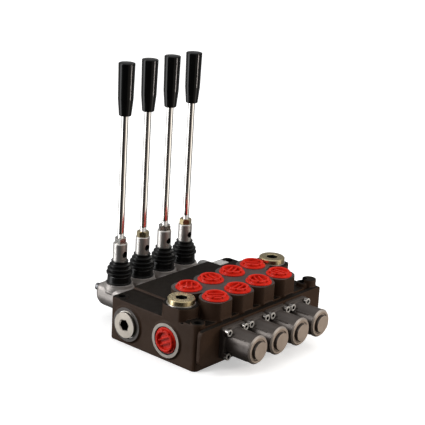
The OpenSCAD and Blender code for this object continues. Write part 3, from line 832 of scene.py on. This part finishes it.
def lever_housing():
    """Cast housing round section y = 0: straight sides, round underside, rounded free end."""
    def plan(inset):
        r = max(9 - inset, 0.6)
        x, y = HOUSING_X0 + inset + r, HALF - inset - r
        nose = [(x + r * math.cos(a), side * y + r * math.sin(a)) for side, a0 in ((1, 90), (-1, 180))
                for a in (math.radians(a0 + 7.5 * k) for k in range(13))]
        return nose + [(BLOCK_X0 + 16, inset - HALF), (BLOCK_X0 + 16, HALF - inset)]

    under = [math.radians(a) for a in range(-78, 1, 6)]
    levels = [(HALF * (1 - math.cos(a)), SPOOL_Z + HALF * math.sin(a)) for a in under]
    over = [math.radians(a) for a in range(0, 91, 15)]
    levels += [(5 * (1 - math.cos(a)), TOP - 5 + 5 * math.sin(a)) for a in over]
    bar = loft([[(x, y, z) for x, y in plan(inset)] for inset, z in levels])
    seat = disc(16.7, 36, SEAT_Z)
    neck = lathe([(0, TOP - 6), (18.0, TOP - 6), (17.9, TOP - 1), (17.4, TOP + 1), (16.9, TOP + 2.4),
                  (0, TOP + 2.4)], None, 64)
    ears = [block(-5, 5, y0, y0 + 3, SEAT_Z - 2, 55.5, corner=1) for y0 in (-9.5, 6.5)]
    lip = disc(12.2, SEAT_Z - 1, SEAT_Z + 2.5)
    round_parts = [moved(part, at(LEVER_X)) for part in [seat, neck, lip] + ears]
    mesh = cast([bar] + round_parts, 0.5, 6, CAST_ALU)
    tools = [
        block(BLOCK_X0, BLOCK_X0 + 20, -30, 30, 0, 70, MACHINED),
        moved(disc(10, HOUSING_X0 + 6, BLOCK_X0 + 1, MACHINED), at(0, 0, SPOOL_Z) @ TO_X),
        block(LEVER_X - 8.5, LEVER_X + 8.5, -6.5, 6.5, SPOOL_Z, 70, MACHINED),
        moved(disc(3.0, -20, 20, MACHINED, 48), at(LEVER_X, 0, PIVOT_Z) @ TO_Y),
    ]
    for y in (-HOUSING_SCREW_Y, HOUSING_SCREW_Y):
        line = at(0, y, HOUSING_SCREW_Z) @ TO_X
        tools.append(moved(disc(SCREW_HOLE_R, HOUSING_X0 - 1, BLOCK_X0 + 1, MACHINED, 32), line))
        tools.append(moved(disc(4.4, HOUSING_X0 - 1, HOUSING_X0 + 6, MACHINED, 48), line))
    return carved(mesh, tools)


housing = lever_housing()
for i in SECTIONS:
    piece(f"housing_cast_{i}", moved(housing, at(0, ROW_Y[i])),
          replaces=[f"lever_housing_{i}"], sharp=38)

long_screw = cap_screw(BLOCK_X0 - HOUSING_X0 - 6 + 11.9, SPRING)
screws = []
for i in SECTIONS:
    for dy in (-HOUSING_SCREW_Y, HOUSING_SCREW_Y):
        head = at(HOUSING_X0 + 6, ROW_Y[i] + dy, HOUSING_SCREW_Z)
        screws.append(moved(long_screw, head @ TO_MINUS_X @ spin(23 * i + 8 * dy)))
piece("housing_bolts", joined(screws), replaces=["housing_screws"])


def rubber_boot():
    """Bellows: sleeve on the seat, three soft folds, and a tight neck."""
    outside = [(14.5, SEAT_Z, 0), (14.8, SEAT_Z + 0.3), (14.8, SEAT_Z + 1.6), (14.2, SEAT_Z + 2.2),
               (13.9, 56.6), (13.2, 57.6), (15.5, 59.6), (15.6, 61.6), (12.2, 63.3), (14.5, 64.9),
               (14.5, 66.4), (10.6, 67.9), (12.3, 69.4), (12.2, 70.8), (9.8, 71.9), (9.8, 74.3),
               (10.4, 74.8), (10.2, 75.5, 0.2)]
    inside = [(8.6, 75.5, 0.2), (8.6, 70.9), (10.3, 70), (9.1, 68), (9.1, 67.2), (12.6, 65.8), (11.1, 64),
              (11.1, 62.8), (13.7, 61), (12.4, 59), (12.4, SEAT_Z, 0)]
    return lathe(softened(outside + inside, 0.5, 5, closed=True), RUBBER, 96)


boot = rubber_boot()
for i in SECTIONS:
    made = piece(f"boot_{i}", moved(boot, at(LEVER_X, ROW_Y[i])),
                 replaces=[f"rubber_boot_{i}"], rides=False)
    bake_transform(made)


def lever_socket():
    """Ball, neck, pivot eye, and the bright tube with its cross hole."""
    body = lathe(softened([
        (0, SPOOL_Z - 4, 0), (1.53, SPOOL_Z - 3.7), (2.83, SPOOL_Z - 2.83), (3.7, SPOOL_Z - 1.53),
        (4, SPOOL_Z), (3.7, SPOOL_Z + 1.53), (2.6, SPOOL_Z + 3.04), (2.6, PIVOT_Z - 4.5),
        (4.6, PIVOT_Z - 1), (4.6, 57),
        (8.5, 60), (8.5, 96.3), (7.7, 97), (0, 97)], 0.4, 3), SATIN_STEEL, 96)
    eye = moved(disc(5, -6.1, 6.1, SATIN_STEEL, 64, edge=0.4), at(0, 0, PIVOT_Z) @ TO_Y)
    # the cross hole is lined near-black: painted shade
    tools = [moved(disc(3.04, -10, 10, GROUND, 48), at(0, 0, PIVOT_Z) @ TO_Y),
             disc(4.06, 88, 98, GROUND, 48),
             moved(disc(3.6, -12, 12, PAINTED_SHADE_BLACK, 48), at(0, 0, 84) @ TO_X)]
    for side in (TO_X, TO_MINUS_X):
        sink = lathe([(0, 7.6), (3.6, 7.6), (4.3, 9.0), (0, 9.0)], SATIN_STEEL, 48)
        tools.append(moved(sink, at(0, 0, 84) @ side))
    return carved(merged([body, eye]), tools)


def lock_nut(finish):
    """Chamfered M8 lock nut on z = 0."""
    nut = hexagon(13, 0, 6.5, finish)
    form = lathe([(0, 0), (6.6, 0), (7.55, 0.7), (7.55, 5.8), (6.6, 6.5), (0, 6.5)], finish, 96)
    bore = disc(4.06, -1, 8, finish, 48)
    sinks = [lathe([(0, -1), (4.9, -1), (4.9, -0.05), (4.05, 0.7), (0, 0.7)], finish, 48),
             lathe([(0, 5.8), (4.05, 5.8), (4.9, 6.55), (4.9, 7.5), (0, 7.5)], finish, 48)]
    return carved(combined(nut, form, "INTERSECT"), [bore] + sinks)


def threaded(radius, z0, z1, thread_z, pitch, depth, finish, tip=0.6):
    """A rod from z0 to z1 with a screw thread up to thread_z."""
    sides = 40
    rings = []

    def ring(z, r, cut):
        points = []
        for s in range(sides):
            turn = s / sides
            phase = (z / pitch - turn) % 1.0
            groove = depth * cut * (1 - abs(2 * phase - 1))
            a = 2 * math.pi * turn
            points.append(((r - groove) * math.cos(a), (r - groove) * math.sin(a), z))
        return points

    rings.append(ring(z0, radius - tip, 0))
    z = z0 + tip
    while z < thread_z:
        fade = min(1.0, (thread_z - z) / pitch)
        rings.append(ring(z, radius, fade))
        z += pitch / 8
    rings.append(ring(thread_z + 0.2, radius, 0))
    rings.append(ring(z1 - tip, radius, 0))
    rings.append(ring(z1, radius - tip, 0))
    return loft(rings, finish)


ROD_LO, ROD_HI = corners("lever_rod_1")
KNOB_LO, KNOB_HI = corners("lever_knob_1")


def lever_knob():
    """Long handle, slimmer at the bottom, with a domed top."""
    z0, z1 = KNOB_LO.z, KNOB_HI.z
    profile = softened([
        (0, z1 - 34, 0), (4.05, z1 - 34, 0), (4.05, z0, 0), (6.3, z0, 0.3), (7.2, z0 + 0.7, 0.4),
        (9.0, z0 + 19.6, 0.25), (9.7, z1 - 0.6, 1.0), (5, z1, 0.5), (0, z1, 0)], 0.5, 5)
    return lathe(profile, BLACK_PLASTIC, 96)


socket_shape = lever_socket()
nuts = {0: lock_nut(YELLOW_ZINC), 1: lock_nut(ZINC)}
rod_shape = threaded(4.0, ROD_LO.z, ROD_HI.z, 109.5, 1.25, 0.55, CHROME)
knob_shape = lever_knob()
NUT_TURN = {1: 12, 2: 40, 3: 25, 4: 50}
for i in SECTIONS:
    place = at(LEVER_X, ROW_Y[i])
    lever = f"lever_{i}"
    nut_z = corners(f"lever_lock_nut_{i}")[0].z
    piece(f"socket_{i}", moved(socket_shape, place), lever, [f"lever_socket_{i}"])
    piece(f"lock_nut_{i}", moved(nuts[i % 2], place @ at(z=nut_z) @ spin(NUT_TURN[i])), lever,
          [f"lever_lock_nut_{i}"])
    piece(f"rod_{i}", moved(rod_shape, place), lever, [f"lever_rod_{i}"])
    piece(f"knob_{i}", moved(knob_shape, place), lever, [f"lever_knob_{i}"])

# ---- Relief valve ----


def relief_valve():
    """Cartridge, lock nut, adjuster and domed cap, pointing away from the block."""
    place = at(*RELIEF) @ TO_MINUS_X
    chamfer = lathe([(0, 2.5), (7.2, 2.5), (8.1, 3.2), (8.1, 9.4), (7.2, 10), (0, 10)], ZINC, 64)
    hexed = combined(hexagon(14, 2.5, 10, ZINC), chamfer, "INTERSECT")
    rim = [(0, 0), (8.1, 0), (8.3, 0.3), (8.3, 2.7), (8.0, 3.0), (0, 3.0)]
    collar = lathe(softened(rim, 0.2, 3), ZINC, 64)
    nose = lathe(softened([(0, -14), (4.9, -14), (5.5, -13.3), (5.5, 0.5, 0), (0, 0.5)], 0.3, 3), ZINC, 64)
    bores = [disc(3.7, -11, 12, GROUND, 64), disc(1.9, -16, -10, GROUND, 48)]
    shape = carved(merged([collar, hexed, nose]), bores)
    piece("relief_cartridge", moved(shape, place), replaces=["relief_body"])
    nut = combined(hexagon(13, 10.2, 15.2, ZINC), lathe([
        (0, 10.2), (6.7, 10.2), (7.45, 10.8), (7.45, 14.6), (6.7, 15.2), (0, 15.2)], ZINC, 64), "INTERSECT")
    nut = carved(nut, [disc(3.72, 9, 17, ZINC, 64)])
    piece("relief_nut", moved(nut, place), replaces=["relief_lock_nut"])
    adjuster = threaded(3.65, 5, 22, 21.4, 1.0, 0.4, ZINC, tip=0.4)
    adjuster = carved(adjuster, [hexagon(4, 18, 24, ZINC)])
    piece("relief_screw", moved(adjuster, place), replaces=["relief_adjuster"])
    cap = lathe(softened([
        (0, 22.8, 0), (7.55, 22.8), (7.55, 10.3), (8.2, 10.2), (8.6, 10.7), (8.6, 21.5), (8.3, 24),
        (7.0, 27), (4.6, 29), (2, 29.7), (0, 29.8, 0)], 0.8, 4), CAP_GREY, 96)
    piece("relief_dome", moved(cap, place), replaces=["relief_cap"])


relief_valve()

# ---- Springs, and the inner CAD pieces in their finishes ----


def coil(radius, wire, length, turns, finish):
    """Compression spring along Z whose end turns lie flat."""
    path = []
    steps = int(turns * 28)
    for s in range(steps + 1):
        t = s / steps
        a = 2 * math.pi * turns * t
        lead = min(max((t * turns - 0.75) / (turns - 1.5), 0), 1)
        z = wire + (length - 2 * wire) * lead
        path.append((radius * math.cos(a), radius * math.sin(a), z))
    return sweep(path, wire, finish, 12)


for i in SECTIONS:
    lo, hi = corners(f"centering_spring_{i}")
    spring = coil(9.6, 1.1, hi.x - lo.x, 6.5, SPRING)
    piece(f"return_spring_{i}", moved(spring, at(lo.x, ROW_Y[i], SPOOL_Z) @ TO_X),
          f"spool_unit_{i}", [f"centering_spring_{i}"])

lo, hi = corners("relief_spring")
spring = coil(2.9, 0.45, hi.x - lo.x, 9, SPRING)
made = piece("relief_coil", moved(spring, at(lo.x, RELIEF.y, RELIEF.z) @ TO_X),
             "root", ["relief_spring"], rides=False)
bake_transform(made)

FINISHES = {"pivot_pins": GROUND, "spool_seals": SEAL, "relief_poppet": GROUND}
for i in SECTIONS:
    FINISHES[f"spool_{i}"] = GROUND
    FINISHES[f"spring_guide_{i}"] = ZINC
for node, finish in FINISHES.items():
    data = frame["nodes"][node].data
    data.materials.clear()
    data.materials.append(finish)

# ---- Stage, light and camera ----


def floor():
    """A pale disc that lights itself a little, and shows in no reflection."""
    rings = [0.5, 2, 6, 14]
    points = [(0, 0, 0)]
    faces = []
    for k, r in enumerate(rings):
        points += [(r * math.cos(a), r * math.sin(a), 0) for a in (2 * math.pi * s / 64 for s in range(64))]
        for s in range(64):
            t = (s + 1) % 64
            a, b = 1 + k * 64 + s, 1 + k * 64 + t
            faces.append((0, a, b) if k == 0 else (a - 64, a, b, b - 64))
    mat = material("pale_floor", (0.86, 0.86, 0.86), (0.88, 0.88, 0.88), (0.7, 0.8),
                   tone=3, grain=300, bump=0.02)
    obj = scratch(mesh_from(points, faces, mat))
    obj.name = "floor"
    obj.location.z = -0.0002
    obj.visible_glossy = False
    obj.visible_diffuse = False
    shader = mat.node_tree.nodes["Principled BSDF"]
    shader.inputs["Emission Color"].default_value = (1, 1, 1, 1)
    shader.inputs["Emission Strength"].default_value = 0.45


floor()


def softbox(name, location, size, power, colour=(1, 1, 1), target=(0, 0, 0.12), glossy=True):
    """A rectangular light aimed at the target, unseen by the camera."""
    light = bpy.data.lights.new(name, "AREA")
    light.shape = "RECTANGLE"
    light.size, light.size_y = size
    light.energy = power
    light.color = colour
    obj = bpy.data.objects.new(name, light)
    obj.location = location
    aim = Vector(target) - Vector(location)
    obj.rotation_euler = aim.to_track_quat("-Z", "Y").to_euler()
    obj.visible_camera = False
    obj.visible_glossy = glossy
    bpy.context.scene.collection.objects.link(obj)
    return obj


softbox("key_left", (-1.3, -2.1, 1.5), (1.0, 1.0), 26)
softbox("top_back", (0.2, 1.6, 2.2), (2.4, 1.2), 14, glossy=False)
softbox("far_end", (0.50, 0.42, 0.26), (0.12, 0.12), 2.0, colour=(1, 0.95, 0.9), target=(0.07, 0.09, 0.03),
        glossy=False)
strip = softbox("knob_strip", (0.54, 0.27, 0.11), (0.035, 0.16), 1.1, colour=(1, 0.90, 0.85),
                target=(-0.1, 0, 0.3))
# the strip draws a highlight on the knobs, and would be too strong on the chrome rods
knobs = bpy.data.collections.new("knobs_only")
for obj in bpy.context.scene.objects:
    if obj.name.startswith("knob_") and obj.type == "MESH":
        knobs.objects.link(obj)
strip.light_linking.receiver_collection = knobs


def studio_world():
    """A white studio given by direction: panels and dark gaps round the horizon, and a soft white ceiling.
    Azimuths are in degrees from the viewing side; chrome and gloss black reflect these panels."""
    viewing_side = -50.0
    panels = [
        (-180, -138, 0.24), (-130, -112, 0.5), (-104, -98, 0.35), (-92, -72, 4.2), (-66, -54, 0.3),
        (-47, 23, 0.03), (29, 57, 0.4), (62, 84, 1.9), (91, 103, 0.1), (110, 130, 0.3), (138, 180, 0.24)]
    warm = {1.9: (1.0, 0.93, 0.84), 0.4: (1.0, 0.90, 0.80)}
    world = bpy.data.worlds.new("studio")
    bpy.context.scene.world = world
    world.use_nodes = True
    nodes, links = world.node_tree.nodes, world.node_tree.links
    background = nodes["Background"]

    def math_node(operation, a, b):
        node = nodes.new("ShaderNodeMath")
        node.operation = operation
        for socket, value in zip(node.inputs, (a, b)):
            if isinstance(value, (int, float)):
                socket.default_value = value
            else:
                links.new(value, socket)
        return node.outputs[0]

    def map_range(value, low, high):
        node = nodes.new("ShaderNodeMapRange")
        node.interpolation_type = "SMOOTHSTEP"
        node.inputs["From Min"].default_value = low
        node.inputs["From Max"].default_value = high
        links.new(value, node.inputs["Value"])
        return node.outputs["Result"]

    def blend(factor, a, b):
        node = nodes.new("ShaderNodeMix")
        node.data_type = "RGBA"
        links.new(factor, node.inputs["Factor"])
        for socket, value in zip((node.inputs[6], node.inputs[7]), (a, b)):
            if isinstance(value, tuple):
                socket.default_value = (*value, 1)
            else:
                links.new(value, socket)
        return node.outputs[2]

    place = nodes.new("ShaderNodeTexCoord")
    split = nodes.new("ShaderNodeSeparateXYZ")
    links.new(place.outputs["Generated"], split.inputs[0])
    azimuth = math_node("ARCTAN2", split.outputs["Y"], split.outputs["X"])
    turned = math_node("SUBTRACT", azimuth, math.radians(viewing_side))
    turns = math_node("ADD", math_node("DIVIDE", turned, 2 * math.pi), 0.5)
    wrapped = math_node("FRACT", turns, 0)
    ramp = nodes.new("ShaderNodeValToRGB")
    ramp.color_ramp.interpolation = "LINEAR"
    stops = []
    for start, end, value in panels:
        tint = warm.get(value, (1, 1, 1))
        for degrees in (start, end):
            stops.append(((degrees + 180) / 360, tuple(value * c for c in tint) + (1,)))
    elements = ramp.color_ramp.elements
    elements[0].position, elements[0].color = stops[0]
    elements[1].position, elements[1].color = stops[-1]
    for position, colour in stops[1:-1]:
        elements.new(position).color = colour
    links.new(wrapped, ramp.inputs["Fac"])
    height = split.outputs["Z"]
    lower = blend(map_range(height, -0.45, -0.36), (0.05, 0.045, 0.04), ramp.outputs["Color"])
    whole = blend(map_range(height, 0.5, 0.75), lower, (0.75, 0.75, 0.75))
    links.new(whole, background.inputs["Color"])
    background.inputs["Strength"].default_value = 1.0


studio_world()
bpy.context.scene.view_settings.view_transform = "Standard"


def camera():
    """A long lens on the near right, looking slightly down."""
    azimuth, elevation, roll = math.radians(39.98), math.radians(17.61), math.radians(3.38)
    distance, target = 1.49185, Vector((-0.010, 0, 0.14542))
    back = Vector((math.sin(azimuth) * math.cos(elevation), -math.cos(azimuth) * math.cos(elevation),
                   math.sin(elevation)))
    right = Vector((math.cos(azimuth), math.sin(azimuth), 0))
    up = back.cross(right)
    x = right * math.cos(roll) + up * math.sin(roll)
    y = up * math.cos(roll) - right * math.sin(roll)
    data = bpy.data.cameras.new("camera")
    data.sensor_width = 36
    data.lens = 109.36
    data.clip_start, data.clip_end = 0.05, 60
    obj = bpy.data.objects.new("camera", data)
    obj.matrix_world = Matrix((
        (x.x, y.x, back.x, 0), (x.y, y.y, back.y, 0), (x.z, y.z, back.z, 0), (0, 0, 0, 1)))
    obj.location = target + back * distance
    bpy.context.scene.collection.objects.link(obj)
    bpy.context.scene.camera = obj


camera()
